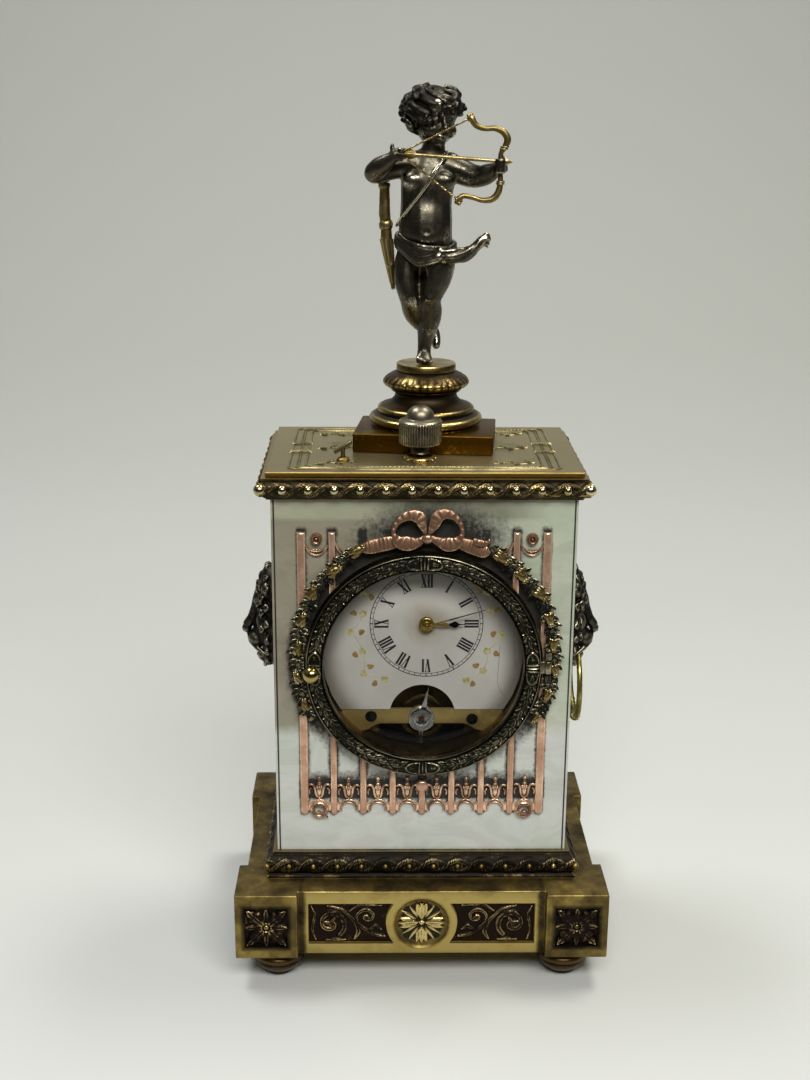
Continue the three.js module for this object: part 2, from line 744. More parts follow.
// Plate opening round the balance: the window's round head over a half-moon slot
function balanceSlot(back, front) {
  const shape = new THREE.Shape();
  const slotTop = -windowDrop - windowRadius * 0.3;
  shape.moveTo(slotHalfWidth, slotTop);
  shape.absellipse(0, slotTop, slotHalfWidth, slotDrop, 0, -Math.PI, true, 0);
  shape.lineTo(-windowRadius, slotTop);
  shape.lineTo(-windowRadius, -windowDrop);
  shape.absarc(0, -windowDrop, windowRadius, Math.PI, 0, true);
  shape.lineTo(windowRadius, slotTop);
  shape.closePath();
  return solid(frontPlate(shape, back - front, 0, back, dialHeight, 6));
}

const mainPlateRadius = openingRadius - 2 * clearance - seatTubeWall;

function mainPlate() {
  const disc = solid(frontDisc(mainPlateRadius, 0, mainPlateBack, mainPlateFront, roundSides, 0, dialHeight));
  const bore = solid(frontDisc(arborRadius + clearance, 0, mainPlateBack + overrun, mainPlateFront - overrun, 12,
    arborX, arborZ));
  return disc.subtract(balanceSlot(mainPlateBack + overrun, mainPlateFront - overrun)).subtract(bore);
}

function backPlate() {
  const disc = solid(frontDisc(plateRadius - seatLip, 0, backPlateBack, backPlateFront, 28, 0, dialHeight));
  const boss = clearance + plateThickness / 4;
  const pivot = solid(frontDisc(staffRadius * 3, 0, backPlateFront, backPlateFront - boss, 10, 0, balanceZ));
  return disc.add(pivot);
}

function backPlateWithPillars() {
  return fuse([backPlate(), ...[0.25, 0.75, 1.25, 1.75].map((share) => {
    const x = pillarCircle * Math.cos(Math.PI * share);
    const z = dialHeight + pillarCircle * Math.sin(Math.PI * share);
    return solid(frontDisc(pillarRadius, 0, backPlateFront, mainPlateBack, 8, x, z));
  })]);
}

// Mainspring barrel behind the back plate, with its arbor and square
function barrel() {
  const drumTop = overrun + barrelThickness;
  const profile = [[0, 0], [barrelArborRadius, 0], [barrelArborRadius, overrun], [barrelRadius, overrun],
    [barrelRadius, drumTop], [barrelArborRadius, drumTop], [barrelArborRadius, drumTop + clearance],
    [0, drumTop + clearance]];
  return solid(onFront(turned(profile, 24), 0, backPlateBack + clearance + drumTop, dialHeight));
}

// Toothed outline about the origin
function gearShape(teeth, tip, root, bore) {
  const shape = new THREE.Shape();
  const pitch = (2 * Math.PI) / teeth;
  for (let i = 0; i < teeth; i++) {
    for (const [radius, share] of [[root, 0], [tip, 0.5]]) {
      const turn = pitch * (i + share);
      const place = [radius * Math.cos(turn), radius * Math.sin(turn)];
      if (i === 0 && share === 0) shape.moveTo(...place);
      else shape.lineTo(...place);
    }
  }
  shape.closePath();
  if (bore > 0) shape.holes.push(new THREE.Path().absarc(0, 0, bore, 0, 2 * Math.PI, true));
  return shape;
}

// Motion work: radii that give the stated centre distance for both gear pairs
const cannonPitch = (motionCentres * cannonTeeth) / (cannonTeeth + minuteWheelTeeth);
const minuteWheelPitch = motionCentres - cannonPitch;
const minutePinionPitch = (motionCentres * minutePinionTeeth) / (minutePinionTeeth + hourWheelTeeth);
const hourWheelPitch = motionCentres - minutePinionPitch;
const frontGearBack = mainPlateFront - clearance;
const frontGearFront = frontGearBack - gearThickness;
const hourGearBack = frontGearFront - clearance;
const hourGearFront = hourGearBack - gearThickness;
const hourHandBack = dialFront - handLift;
const hourHandFront = hourHandBack - handThickness;
const minuteHandBack = hourHandFront - handGap;
const minuteHandFront = minuteHandBack - handThickness;

function gear(teeth, pitchRadius, bore, back, x, z, startTurn) {
  const shape = gearShape(teeth, pitchRadius + toothBite / 2, pitchRadius - toothBite, bore);
  const settings = { depth: gearThickness, bevelEnabled: false, curveSegments: 5 };
  const wheel = new THREE.ExtrudeGeometry(shape, settings).rotateZ(startTurn);
  return solid(onFront(wheel, x, back, z));
}

// Centre arbor with the cannon pinion that carries the minute hand
function centreArbor() {
  const shaft = frontDisc(arborRadius, 0, backPlateFront - clearance, frontGearBack, 12, arborX, arborZ);
  const cannon = frontDisc(cannonRadius, 0, frontGearBack, minuteHandBack, 12, arborX, arborZ);
  return fuse([solid(shaft), solid(cannon), gear(cannonTeeth, cannonPitch, 0, frontGearBack, arborX, arborZ, 0)]);
}

function minuteWheel() {
  const x = arborX - motionCentres;
  const wheel = gear(minuteWheelTeeth, minuteWheelPitch, 0, frontGearBack, x, arborZ, Math.PI / minuteWheelTeeth);
  const pinion = gear(minutePinionTeeth, minutePinionPitch, 0, frontGearBack, x, arborZ, Math.PI / minutePinionTeeth);
  const upper = gear(minutePinionTeeth, minutePinionPitch, 0, hourGearBack, x, arborZ, Math.PI / minutePinionTeeth);
  const hub = frontDisc(arborRadius, 0, frontGearBack, hourGearFront, 10, x, arborZ);
  return fuse([wheel, pinion, upper, solid(hub)]);
}

function hourWheel() {
  const wheel = gear(hourWheelTeeth, hourWheelPitch, pipeInnerRadius, hourGearBack, arborX, arborZ, 0);
  const pipe = frontDisc(pipeOuterRadius, pipeInnerRadius, hourGearBack, hourHandBack, 12, arborX, arborZ);
  return wheel.add(solid(pipe));
}

// Hands point up before they are turned clockwise from the three o'clock position
function handOutline(length, hub, shoulder) {
  const shape = new THREE.Shape();
  shape.moveTo(hub * 0.8, -hub * 0.2);
  shape.quadraticCurveTo(length * 0.55, -shoulder * 0.3, length * 0.62, -shoulder);
  shape.quadraticCurveTo(length * 0.72, -shoulder * 0.5, length, 0);
  shape.quadraticCurveTo(length * 0.72, shoulder * 0.5, length * 0.62, shoulder);
  shape.quadraticCurveTo(length * 0.55, shoulder * 0.3, hub * 0.8, hub * 0.2);
  shape.closePath();
  return shape;
}

function hand(length, hub, bore, shoulder, back, turn) {
  const settings = { depth: handThickness, bevelEnabled: false, curveSegments: 2 };
  const blade = new THREE.ExtrudeGeometry(handOutline(length, hub, shoulder), settings)
    .rotateZ(THREE.MathUtils.degToRad(turn));
  const disc = frontDisc(hub, bore, back, back - handThickness, 12, arborX, arborZ);
  return solid(onFront(blade, arborX, back, arborZ)).add(solid(disc));
}

// Balance: rim and cross arm on a staff of their own
function balance() {
  const back = mainPlateFront - clearance;
  const front = back - balanceThickness;
  const rim = solid(frontDisc(balanceRadius, balanceRadius - balanceRim, back, front, 24, 0, balanceZ));
  const arm = solid(block(2 * balanceRadius - balanceRim, balanceThickness, balanceRim, 0, (back + front) / 2,
    balanceZ - balanceRim / 2));
  const hub = solid(frontDisc(3 * staffRadius, 0, back, front, 12, 0, balanceZ));
  return fuse([rim, arm, hub]).subtract(solid(frontDisc(staffRadius, 0, back + overrun, front - overrun, 10, 0, balanceZ)));
}

function balanceStaff() {
  return solid(frontDisc(staffRadius, 0, backPlateFront - plateThickness, bridgeBack - bridgeThickness / 2, 10, 0, balanceZ));
}

const bridgeFront = dialFront + clearance;
const bridgeBack = bridgeFront + bridgeThickness;

function hairspring() {
  const steps = 10 * hairspringTurns;
  const points = Array.from({ length: steps + 1 }, (_, i) => {
    const share = i / steps;
    const turn = 2 * Math.PI * hairspringTurns * share + Math.PI / 2;
    const reach = hairspringInner + (hairspringOuter - hairspringInner) * share;
    return new THREE.Vector3(reach * Math.cos(turn), reach * Math.sin(turn), 0);
  });
  const coil = wire(new THREE.CatmullRomCurve3(points), hairspringWire, steps, 4);
  const y = bridgeBack + clearance + hairspringWire;
  const stud = frontDisc(2 * hairspringWire, 0, y + hairspringWire, bridgeBack, 8, 0, balanceZ + hairspringOuter);
  return solid(onFront(coil, 0, y, balanceZ)).add(solid(stud));
}

// Balance bridge: a bar across the slot with a foot at each end
function balanceBridge() {
  const top = dialHeight - enamelEdgeDrop - clearance;
  const bottom = top - bridgeHeight;
  const bar = solid(block(2 * bridgeSpan, bridgeThickness, bridgeHeight, 0, (bridgeFront + bridgeBack) / 2, bottom));
  const parts = [bar];
  for (const sign of [-1, 1]) {
    const x = sign * (bridgeSpan - bridgeFootWidth / 2);
    parts.push(solid(block(bridgeFootWidth, mainPlateFront - bridgeFront, bridgeHeight, x,
      (mainPlateFront + bridgeFront) / 2, bottom)));
  }
  const boss = frontDisc(jewelRadius, 0, bridgeBack, bridgeFront, 16, 0, balanceZ);
  parts.push(solid(boss));
  const bore = frontDisc(staffRadius + clearance, 0, bridgeBack + overrun, bridgeFront - overrun, 10, 0, balanceZ);
  const disc = frontDisc(mainPlateRadius, 0, mainPlateFront, bridgeFront, roundSides, 0, dialHeight);
  return fuse(parts).intersect(solid(disc)).subtract(solid(bore));
}

function bridgeScrew(sign) {
  const head = frontDisc(bridgeScrewRadius, 0, bridgeFront, bridgeFront - handThickness, 12,
    sign * bridgeScrewX, balanceZ + handThickness);
  const slot = block(2 * bridgeScrewRadius + overrun, handThickness, handThickness, sign * bridgeScrewX,
    bridgeFront - handThickness, balanceZ + handThickness / 2);
  return solid(head).subtract(solid(slot));
}

// Regulator: pointer above and fork below a plate that lies on the bridge
function regulator() {
  const shape = new THREE.Shape();
  const root = jewelRadius * 0.9;
  shape.moveTo(-root * 0.25, root * 0.6);
  shape.lineTo(arborX * 1.6, indexLength);
  shape.lineTo(root * 0.45, root * 0.6);
  shape.closePath();
  const tail = new THREE.Shape();
  tail.moveTo(-root * 0.42, -root * 0.8);
  tail.lineTo(-root * 0.5, -indexTail);
  tail.lineTo(-root * 0.2, -indexTail);
  tail.lineTo(root * 0.05, -root * 0.8);
  tail.closePath();
  const disc = frontDisc(jewelRadius, 0, bridgeFront, bridgeFront - indexThickness, 16, 0, balanceZ);
  return fuse([solid(disc), ...[shape, tail].map((outline) =>
    solid(frontPlate(outline, indexThickness, 0, bridgeFront, balanceZ, 1)))]);
}

// End cap with its jewel and two tiny screws
function jewelCap() {
  const back = bridgeFront - indexThickness;
  const cap = [[0, 0], [jewelRadius * 0.85, 0], [jewelRadius * 0.75, jewelThickness], [jewelRadius * 0.3, jewelThickness],
    [jewelRadius * 0.2, jewelThickness * 0.6], [0, jewelThickness * 0.6]];
  const dots = [-1, 1].map((sign) => solid(frontDisc(jewelRadius * 0.12, 0, back - jewelThickness / 2,
    back - jewelThickness * 1.3, 6, sign * jewelRadius * 0.58, balanceZ)));
  return fuse([solid(onFront(turned(cap, 16), 0, back, balanceZ)), ...dots]);
}

// Trellis: bars, arcade, bell flowers, corner rosettes and swags as one casting
function bar(x, bottom, top, width) {
  const half = width / 2;
  const shape = new THREE.Shape();
  shape.moveTo(-half, half);
  shape.absarc(0, half, half, Math.PI, 2 * Math.PI, false);
  shape.lineTo(half, top - bottom);
  shape.lineTo(-half, top - bottom);
  shape.closePath();
  return solid(frontPlate(shape, barThickness, x, caseFront, bottom, 2));
}

function arch(x, z) {
  const shape = new THREE.Shape();
  shape.moveTo(archRadius, 0);
  shape.absarc(0, 0, archRadius, 0, Math.PI, false);
  shape.absarc(0, 0, archRadius - archWidth, Math.PI, 0, true);
  shape.closePath();
  return solid(frontPlate(shape, barThickness, x, caseFront, z, 3));
}

function bellFlower(x, z) {
  const half = barPitch / 2;
  const cup = new THREE.Shape();
  cup.moveTo(-bellRadius * 0.25, 0);
  cup.quadraticCurveTo(-bellRadius, bellHeight * 0.25, -bellRadius, bellHeight * 0.6);
  cup.quadraticCurveTo(-bellRadius * 1.6, bellHeight * 0.85, -half, bellHeight * 0.7);
  cup.lineTo(-half, bellHeight * 0.9);
  cup.quadraticCurveTo(-bellRadius * 1.3, bellHeight * 1.1, -bellRadius * 0.5, bellHeight * 0.8);
  cup.lineTo(bellRadius * 0.5, bellHeight * 0.8);
  cup.quadraticCurveTo(bellRadius * 1.3, bellHeight * 1.1, half, bellHeight * 0.9);
  cup.lineTo(half, bellHeight * 0.7);
  cup.quadraticCurveTo(bellRadius * 1.6, bellHeight * 0.85, bellRadius, bellHeight * 0.6);
  cup.quadraticCurveTo(bellRadius, bellHeight * 0.25, bellRadius * 0.25, 0);
  cup.closePath();
  const stalk = block(bellRadius * 0.5, barThickness, archWidth * 2, x, caseFront - barThickness / 2, z - archWidth);
  const bead = egg(bellBead, bellBead, bellBead, x, caseFront - barThickness * 0.8, z + bellHeight * 0.85, 4, 3);
  return fuse([frontPlate(cup, barThickness, x, caseFront, z, 1), stalk, bead].map(solid));
}

function topCell(x, z) {
  const petals = flower(6, cellRosetteRadius, barThickness * 1.3, 0.25, 0.6, 0, 2);
  const half = barPitch / 2;
  const curve = new THREE.QuadraticBezierCurve3(
    new THREE.Vector3(x - half, caseFront - swagWire, z - cellRosetteRadius * 0.6),
    new THREE.Vector3(x, caseFront - swagWire, z - 2 * swagDrop + cellRosetteRadius),
    new THREE.Vector3(x + half, caseFront - swagWire, z - cellRosetteRadius * 0.6));
  const link = block(barPitch, barThickness / 2, swagWire, x, caseFront - barThickness / 4, z - swagWire / 2);
  return fuse([solid(onFront(petals, x, caseFront, z)), solid(wire(curve, swagWire, 5, 4)), solid(link)]);
}

const trellisBottom = caseBottom + trellisFoot;
const trellisHead = caseTop - trellisTop;

function trellis() {
  const parts = [];
  const middle = (barCount - 1) / 2;
  for (let i = 0; i < barCount; i++) {
    const x = (i - middle) * barPitch;
    const outer = i === 0 || i === barCount - 1;
    const tall = Math.abs(i - middle) >= middle - 1;
    const top = tall ? trellisHead : i === middle ? trellisBottom + centreBarLength : dialHeight - seatFlangeRadius / 2;
    parts.push(bar(x, trellisBottom, top, outer ? outerBarWidth : barWidth));
    if (i === barCount - 1) continue;
    const cell = x + barPitch / 2;
    parts.push(arch(cell, trellisBottom + archRise));
    parts.push(bellFlower(cell, trellisBottom + bellDrop));
    if (i === 0 || i === barCount - 2) {
      parts.push(topCell(cell, trellisHead - cellRosetteRadius));
      const knot = flower(5, archRadius * 0.9, barThickness * 1.4, 0.3, 0.6, 0, 2);
      parts.push(solid(onFront(knot, cell, caseFront, trellisBottom + archRise)));
    }
  }
  const pin = frontDisc(centrePinRadius, 0, caseFront, caseFront - barThickness * 1.4, 12, 0,
    trellisBottom + centreBarLength);
  parts.push(solid(pin));
  const clear = frontDisc(seatFlangeRadius + clearance, 0, caseFront + overrun, caseFront - 2 * overrun, roundSides, 0, dialHeight);
  return fuse(parts).subtract(solid(clear));
}

// Room round the hinge that the garland keeps free
function hingeRoom() {
  const half = halfKnuckle + hingeKnuckleLength * 0.6 + 3 * clearance + hingeBoreRadius;
  const width = 2 * (hingeRadius + clearance);
  return solid(block(width, 4 * bezelThickness, 2 * half, hingeX, caseFront, dialHeight - half));
}

// Ribbon bow: two open loops, a knot and two short tails
function ribbonBow() {
  const z = dialHeight + bowRise;
  const parts = [];
  for (const sign of [-1, 1]) {
    const loop = new THREE.Shape();
    loop.absellipse(bowLoopWidth * 0.86, bowLoopHeight * 0.46, bowLoopWidth * 0.94, bowLoopHeight, 0, 2 * Math.PI, false, 0);
    const hole = new THREE.Path();
    hole.absellipse(bowLoopWidth * 0.95, bowLoopHeight * 0.56, bowLoopWidth * 0.6, bowLoopHeight * 0.38, 0, 2 * Math.PI, true, 0);
    loop.holes.push(hole);
    parts.push(solid(frontPlate(loop, bowThickness, 0, garlandBack, z, 6).scale(sign, 1, 1)));
    const tail = new THREE.CatmullRomCurve3([[0.2, -0.1], [1, -0.35], [1.9, -0.15], [2.7, -0.5], [3.5, -0.75]]
      .map(([sx, sz]) => new THREE.Vector3(sign * bowLoopWidth * sx, garlandBack - bowThickness * 0.4,
        z + bowLoopHeight * sz)));
    parts.push(solid(wire(tail, bowThickness * 0.4, 6, 4)));
  }
  const knot = egg(bowLoopWidth * 0.32, bowThickness * 0.7, bowLoopHeight * 0.26, 0, garlandBack - bowThickness * 0.6, z, 6, 4);
  parts.push(solid(knot));
  const keep = block(8 * bowLoopWidth, 4 * bowThickness, 8 * bowLoopHeight, 0, garlandBack - 2 * bowThickness,
    z - 4 * bowLoopHeight);
  return fuse(parts).intersect(solid(keep));
}

const garlandBack = caseFront - barThickness - clearance;

// Garland on an arc outside the bezel: husks overlap, so width and height step at each one
function garland(sign) {
  const rings = Array.from({ length: 2 * garlandLeaves }, (_, i) => {
    const open = i % 2 === 0;
    const share = (i + (open ? 0 : 0.6)) / (2 * garlandLeaves - 1);
    const angle = THREE.MathUtils.degToRad(garlandStart + (garlandEnd - garlandStart) * Math.min(share, 1));
    const width = leafWidth * (open ? 0.55 : 1.1);
    const height = leafHeight * (open ? 1.1 : 1.9);
    const reach = garlandRadius + (1 - share) * leafWidth;
    const section = [[-width, 0], [-width * 0.7, height * 0.7], [0, height], [width * 0.7, height * 0.7], [width, 0]];
    return section.map(([out, rise]) => new THREE.Vector3(
      sign * (reach + out) * Math.sin(angle), garlandBack - rise, dialHeight + (reach + out) * Math.cos(angle)));
  });
  const ring = frontDisc(bezelOuterRadius + clearance, 0, caseFront + overrun, bezelFront - overrun, roundSides, 0, dialHeight);
  return solid(loft(rings)).subtract(solid(ring)).subtract(hingeRoom()).subtract(bowRoom());
}

// Room that the garlands leave for the bow's tails
function bowRoom() {
  const reach = bowLoopWidth * 3.5 + bowThickness;
  return solid(block(2 * reach, 4 * bowThickness, 4 * bowLoopHeight, 0, garlandBack - bowThickness,
    dialHeight + bowRise - bowLoopHeight - clearance));
}

// Lion mask, built facing the front and then turned to its side
function maskForm() {
  const mane = flower(11, 1, maneThickness, 0.22, 0.6, 0, 2).scale(maneHalfWidth, maneHalfHeight, 1);
  const parts = [solid(onFront(mane, 0, 0, 0))];
  const up = maneHalfHeight;
  const out = maskReach;
  const wide = maneHalfWidth;
  const forms = [
    [[0, 0.24, 0], [0.74, 0.72, 0.88], 8, 6],
    [[0, -0.08, 0.6], [0.38, 0.26, 0.4], 6, 4],
    [[0, -0.53, 0.42], [0.3, 0.21, 0.32], 6, 4],
    [[0, 0.1, 0.86], [0.14, 0.2, 0.13], 4, 3],
  ];
  for (const side of [-1, 1]) {
    forms.push([[side * 0.34, 0.2, 0.72], [0.2, 0.08, 0.12], 4, 3]);
    forms.push([[side * 0.62, 0.62, 0.42], [0.2, 0.16, 0.2], 4, 3]);
    for (const share of [0.8, 0.14, -0.46]) {
      const sweep = Math.sqrt(1 - share * share * 0.7) * 0.78;
      forms.push([[side * sweep, share * 0.86, 0.3], [0.22, 0.2, 0.26], 4, 3]);
    }
  }
  for (const [place, radii, sides, rows] of forms) {
    parts.push(solid(egg(radii[0] * wide, radii[2] * out, radii[1] * up,
      place[0] * wide, -place[2] * out, place[1] * up, sides, rows)));
  }
  const behind = block(4 * wide, 4 * wide, 4 * up, 0, 2 * wide, -2 * up);
  const jawHole = new THREE.CylinderGeometry(jawHoleRadius, jawHoleRadius, 2 * wide, 8).rotateZ(Math.PI / 2)
    .translate(0, -ringOut, -ringDrop);
  return [parts, solid(behind), solid(jawHole)];
}

function lionMask(sign) {
  const [parts, behind, jawHole] = maskForm();
  return fuse(parts).subtract(behind).subtract(jawHole);
}

function ringHandle() {
  const ring = new THREE.TorusGeometry(ringMeanRadius, ringWireRadius, 6, 24).rotateY(Math.PI / 2);
  return solid(ring.translate(caseHalfWidth + ringOut, 0, maskHeight - ringDrop - ringMeanRadius));
}

// Winding crown: fluted head with a domed cap, a neck, and its collar and stem
function crown() {
  const bottom = plateTop + collarHeight + clearance;
  const headBottom = bottom + crownNeckHeight;
  const headTop = headBottom + crownHeadHeight;
  const shape = new THREE.Shape(ringOf(2 * crownFlutes, (turn) => {
    const flute = Math.round((turn * crownFlutes) / Math.PI) % 2 === 0;
    const radius = flute ? crownHeadRadius : crownHeadRadius - clearance / 2;
    return new THREE.Vector2(radius * Math.cos(turn), radius * Math.sin(turn));
  }));
  const head = new THREE.ExtrudeGeometry(shape, { depth: crownHeadHeight, bevelEnabled: false }).translate(0, 0, headBottom);
  const core = [[0, bottom], [crownNeckRadius, bottom], [crownNeckRadius, headBottom], [crownHeadRadius * 0.9, headBottom],
    [crownHeadRadius * 0.9, headTop], [crownDomeRadius, headTop + crownDomeHeight * 0.2],
    [crownDomeRadius * 0.87, headTop + crownDomeHeight * 0.6], [crownDomeRadius * 0.5, headTop + crownDomeHeight * 0.92],
    [0, headTop + crownDomeHeight]];
  return solid(head.translate(crownX, crownY, 0)).add(solid(turned(core, 16).translate(crownX, crownY, 0)));
}

function crownCollar() {
  const h = collarHeight;
  const bore = stemRadius + clearance;
  const profile = [[bore, 0], [collarRadius, 0], [collarRadius, h * 0.5], [collarRadius * 0.85, h],
    [collarRadius * 0.68, h], [collarRadius * 0.62, h * 0.6], [bore, h * 0.6], [bore, 0]];
  return solid(turned(profile, 12).translate(crownX, crownY, plateTop));
}

const movementTop = dialHeight + plateRadius - seatLip;

function windingStem() {
  const top = plateTop + collarHeight + clearance;
  const tip = movementTop - plateThickness;
  const profile = [[0, tip], [stemRadius * 1.6, tip], [stemRadius * 1.6, tip + plateThickness],
    [stemRadius, tip + plateThickness], [stemRadius, top], [0, top]];
  return solid(turned(profile, 10).translate(crownX, crownY, 0));
}

function setPinBush() {
  const h = pinBushHeight;
  const bore = pinRadius + clearance;
  const profile = [[bore, 0], [pinBushRadius, 0], [pinBushRadius * 0.9, h * 0.6], [bore + h * 0.2, h], [bore, h], [bore, 0]];
  return solid(turned(profile, 10).translate(pinX, pinY, plateTop));
}

// Set pin: a tilted thumb head on a short shank, over a rod that reaches down to the movement
const pinJoin = plateTop + pinBushHeight + pinTravel;

function setPin() {
  const top = plateTop + pinHeight;
  const shank = rod(pinRadius, pinJoin, top, 8, pinX, pinY);
  const head = new THREE.CylinderGeometry(pinHeadThickness / 2, pinHeadWidth / 2, pinHeadLength, 8)
    .rotateZ(THREE.MathUtils.degToRad(pinHeadTilt - 90)).translate(pinX, pinY, top);
  return solid(shank).add(solid(head));
}

function setPinRod() {
  return solid(rod(pinRadius, dialHeight + plateRadius * 0.78, pinJoin, 8, pinX, pinY));
}

// Pedestal block, turned a little about the upright
function pedestalBlock() {
  const slab = block(pedestalWidth, pedestalDepth, pedestalHeight, 0, 0, plateTop)
    .rotateZ(THREE.MathUtils.degToRad(pedestalTurn)).translate(pedestalX, pedestalY, 0);
  return solid(slab);
}

// Turned socle: two discs, a deep hollow, a torus and the top disc
function socle() {
  const profileShares = [[0, 0], [0.7, 0], [0.72, 0.05], [0.94, 0.06], [1, 0.085], [1, 0.15], [0.95, 0.175], [0.85, 0.19],
    [0.85, 0.3], [0.81, 0.325], [0.64, 0.385], [0.545, 0.47], [0.57, 0.53], [0.65, 0.6], [0.76, 0.7], [0.7, 0.78],
    [0.52, 0.88], [0.52, 1], [0, 1]];
  const body = solid(turned(profileShares.map(([r, h]) => [r * socleRadius, h * socleHeight]), 20));
  return body.translate(socleX, socleY, socleBottom);
}

// Figure: all places and radii are shares of its height, from the middle of the socle
function figurePlace(x, y, up) {
  return new THREE.Vector3(socleX + figureHeight * x, socleY + figureHeight * y, figureFoot + figureHeight * up);
}

function figureLimb(rowShares, sides, extra) {
  const stations = rowShares.map(([x, y, up, wide, deep]) => ({
    place: figurePlace(x, y, up),
    wide: figureHeight * wide + extra,
    deep: figureHeight * deep + extra,
  }));
  return solid(limb(stations, sides));
}

function figureEgg(x, y, up, rx, ry, rz, sides, rows) {
  const centre = figurePlace(x, y, up);
  return solid(egg(figureHeight * rx, figureHeight * ry, figureHeight * rz, centre.x, centre.y, centre.z, sides, rows));
}

const torsoShares = [
  [-0.004, 0.005, 0.352, 0.05, 0.05], [-0.006, 0.008, 0.385, 0.094, 0.078], [-0.01, 0.008, 0.42, 0.103, 0.086],
  [-0.007, -0.008, 0.481, 0.098, 0.09], [-0.006, -0.004, 0.57, 0.094, 0.078], [-0.001, 0, 0.66, 0.098, 0.074],
  [0.008, 0.004, 0.71, 0.1, 0.066], [0.014, 0.006, 0.745, 0.075, 0.052], [0.018, 0.004, 0.77, 0.046, 0.044],
  [0.024, 0, 0.83, 0.042, 0.042],
];
const frontLegShares = [
  [0.03, 0, 0.43, 0.06, 0.066], [0.036, -0.006, 0.36, 0.066, 0.07], [0.028, -0.014, 0.3, 0.056, 0.06],
  [0.014, -0.018, 0.25, 0.046, 0.048], [0.008, -0.01, 0.215, 0.042, 0.042], [0.01, 0.01, 0.18, 0.046, 0.048],
  [0.004, 0.014, 0.13, 0.038, 0.042], [-0.006, 0.014, 0.07, 0.028, 0.03], [-0.008, 0.01, 0.02, 0.028, 0.034],
];
const frontFootShares = [
  [-0.008, 0.045, 0.018, 0.02, 0.018], [-0.008, 0.03, 0.02, 0.029, 0.02], [-0.008, 0, 0.022, 0.03, 0.022],
  [-0.008, -0.03, 0.014, 0.033, 0.014], [-0.008, -0.05, 0.009, 0.03, 0.009],
];
const backLegShares = [
  [-0.045, 0.01, 0.42, 0.055, 0.064], [-0.07, -0.002, 0.36, 0.05, 0.062], [-0.076, -0.02, 0.3, 0.043, 0.052],
  [-0.066, -0.03, 0.245, 0.038, 0.042], [-0.058, -0.012, 0.2, 0.034, 0.038], [-0.042, 0.024, 0.165, 0.034, 0.036],
  [-0.014, 0.06, 0.125, 0.026, 0.028], [0.016, 0.082, 0.1, 0.021, 0.022],
];
const backFootShares = [
  [0.02, 0.1, 0.118, 0.016, 0.016], [0.034, 0.09, 0.1, 0.024, 0.02], [0.04, 0.074, 0.07, 0.02, 0.02],
  [0.034, 0.062, 0.046, 0.016, 0.014],
];
const drawingArmShares = [
  [-0.05, 0, 0.715, 0.048, 0.048], [-0.1, -0.01, 0.708, 0.044, 0.044], [-0.15, -0.026, 0.694, 0.038, 0.038],
  [-0.186, -0.04, 0.683, 0.036, 0.036], [-0.196, -0.058, 0.69, 0.032, 0.032], [-0.17, -0.08, 0.708, 0.034, 0.034],
  [-0.14, -0.1, 0.732, 0.026, 0.026], [-0.118, -0.112, 0.748, 0.026, 0.022], [-0.104, -0.116, 0.76, 0.02, 0.018],
];
const bowArmShares = [
  [0.06, 0, 0.712, 0.048, 0.048], [0.11, -0.014, 0.692, 0.046, 0.046], [0.155, -0.034, 0.676, 0.042, 0.042],
  [0.19, -0.052, 0.676, 0.038, 0.038], [0.215, -0.076, 0.69, 0.034, 0.034], [0.238, -0.1, 0.704, 0.026, 0.026],
  [0.256, -0.112, 0.714, 0.034, 0.03], [0.27, -0.118, 0.722, 0.026, 0.024],
];
const bowPlane = -0.118;
const bowShares = [
  [0.132, 0.884, 0.004], [0.144, 0.878, 0.011], [0.162, 0.853, 0.01], [0.193, 0.842, 0.009], [0.228, 0.843, 0.01],
  [0.259, 0.83, 0.011], [0.273, 0.805, 0.011], [0.263, 0.779, 0.01], [0.25, 0.755, 0.009], [0.25, 0.7, 0.009],
  [0.251, 0.66, 0.01], [0.244, 0.625, 0.011], [0.224, 0.603, 0.01], [0.19, 0.598, 0.009], [0.154, 0.608, 0.009],
  [0.122, 0.613, 0.009], [0.103, 0.6, 0.011], [0.1, 0.584, 0.004],
];
const nockShares = [-0.104, 0.757];
const arrowTipShares = [0.292, 0.729];
const wrapShares = [
  [0.05, -0.07, 0.405, 0.018, 0.014], [0.01, -0.098, 0.396, 0.018, 0.012], [-0.035, -0.094, 0.392, 0.018, 0.012],
  [-0.08, -0.066, 0.42, 0.018, 0.012], [-0.112, -0.01, 0.446, 0.018, 0.012], [-0.09, 0.062, 0.45, 0.018, 0.012],
  [-0.01, 0.098, 0.44, 0.018, 0.012], [0.074, 0.066, 0.425, 0.018, 0.012], [0.098, 0, 0.41, 0.018, 0.012],
  [0.06, -0.068, 0.402, 0.018, 0.014],
];
const upperFoldShares = [
  [-0.104, -0.02, 0.466, 0.012, 0.01], [-0.076, -0.07, 0.442, 0.013, 0.01], [-0.03, -0.098, 0.424, 0.013, 0.01],
  [0.02, -0.096, 0.42, 0.013, 0.01], [0.06, -0.074, 0.42, 0.012, 0.01],
];
const flutterShares = [
  [0.045, -0.082, 0.408, 0.026, 0.018], [0.085, -0.08, 0.4, 0.03, 0.018], [0.13, -0.066, 0.402, 0.026, 0.016],
  [0.165, -0.056, 0.42, 0.022, 0.015], [0.188, -0.052, 0.444, 0.02, 0.015], [0.21, -0.05, 0.456, 0.022, 0.014],
  [0.222, -0.048, 0.436, 0.014, 0.01],
];
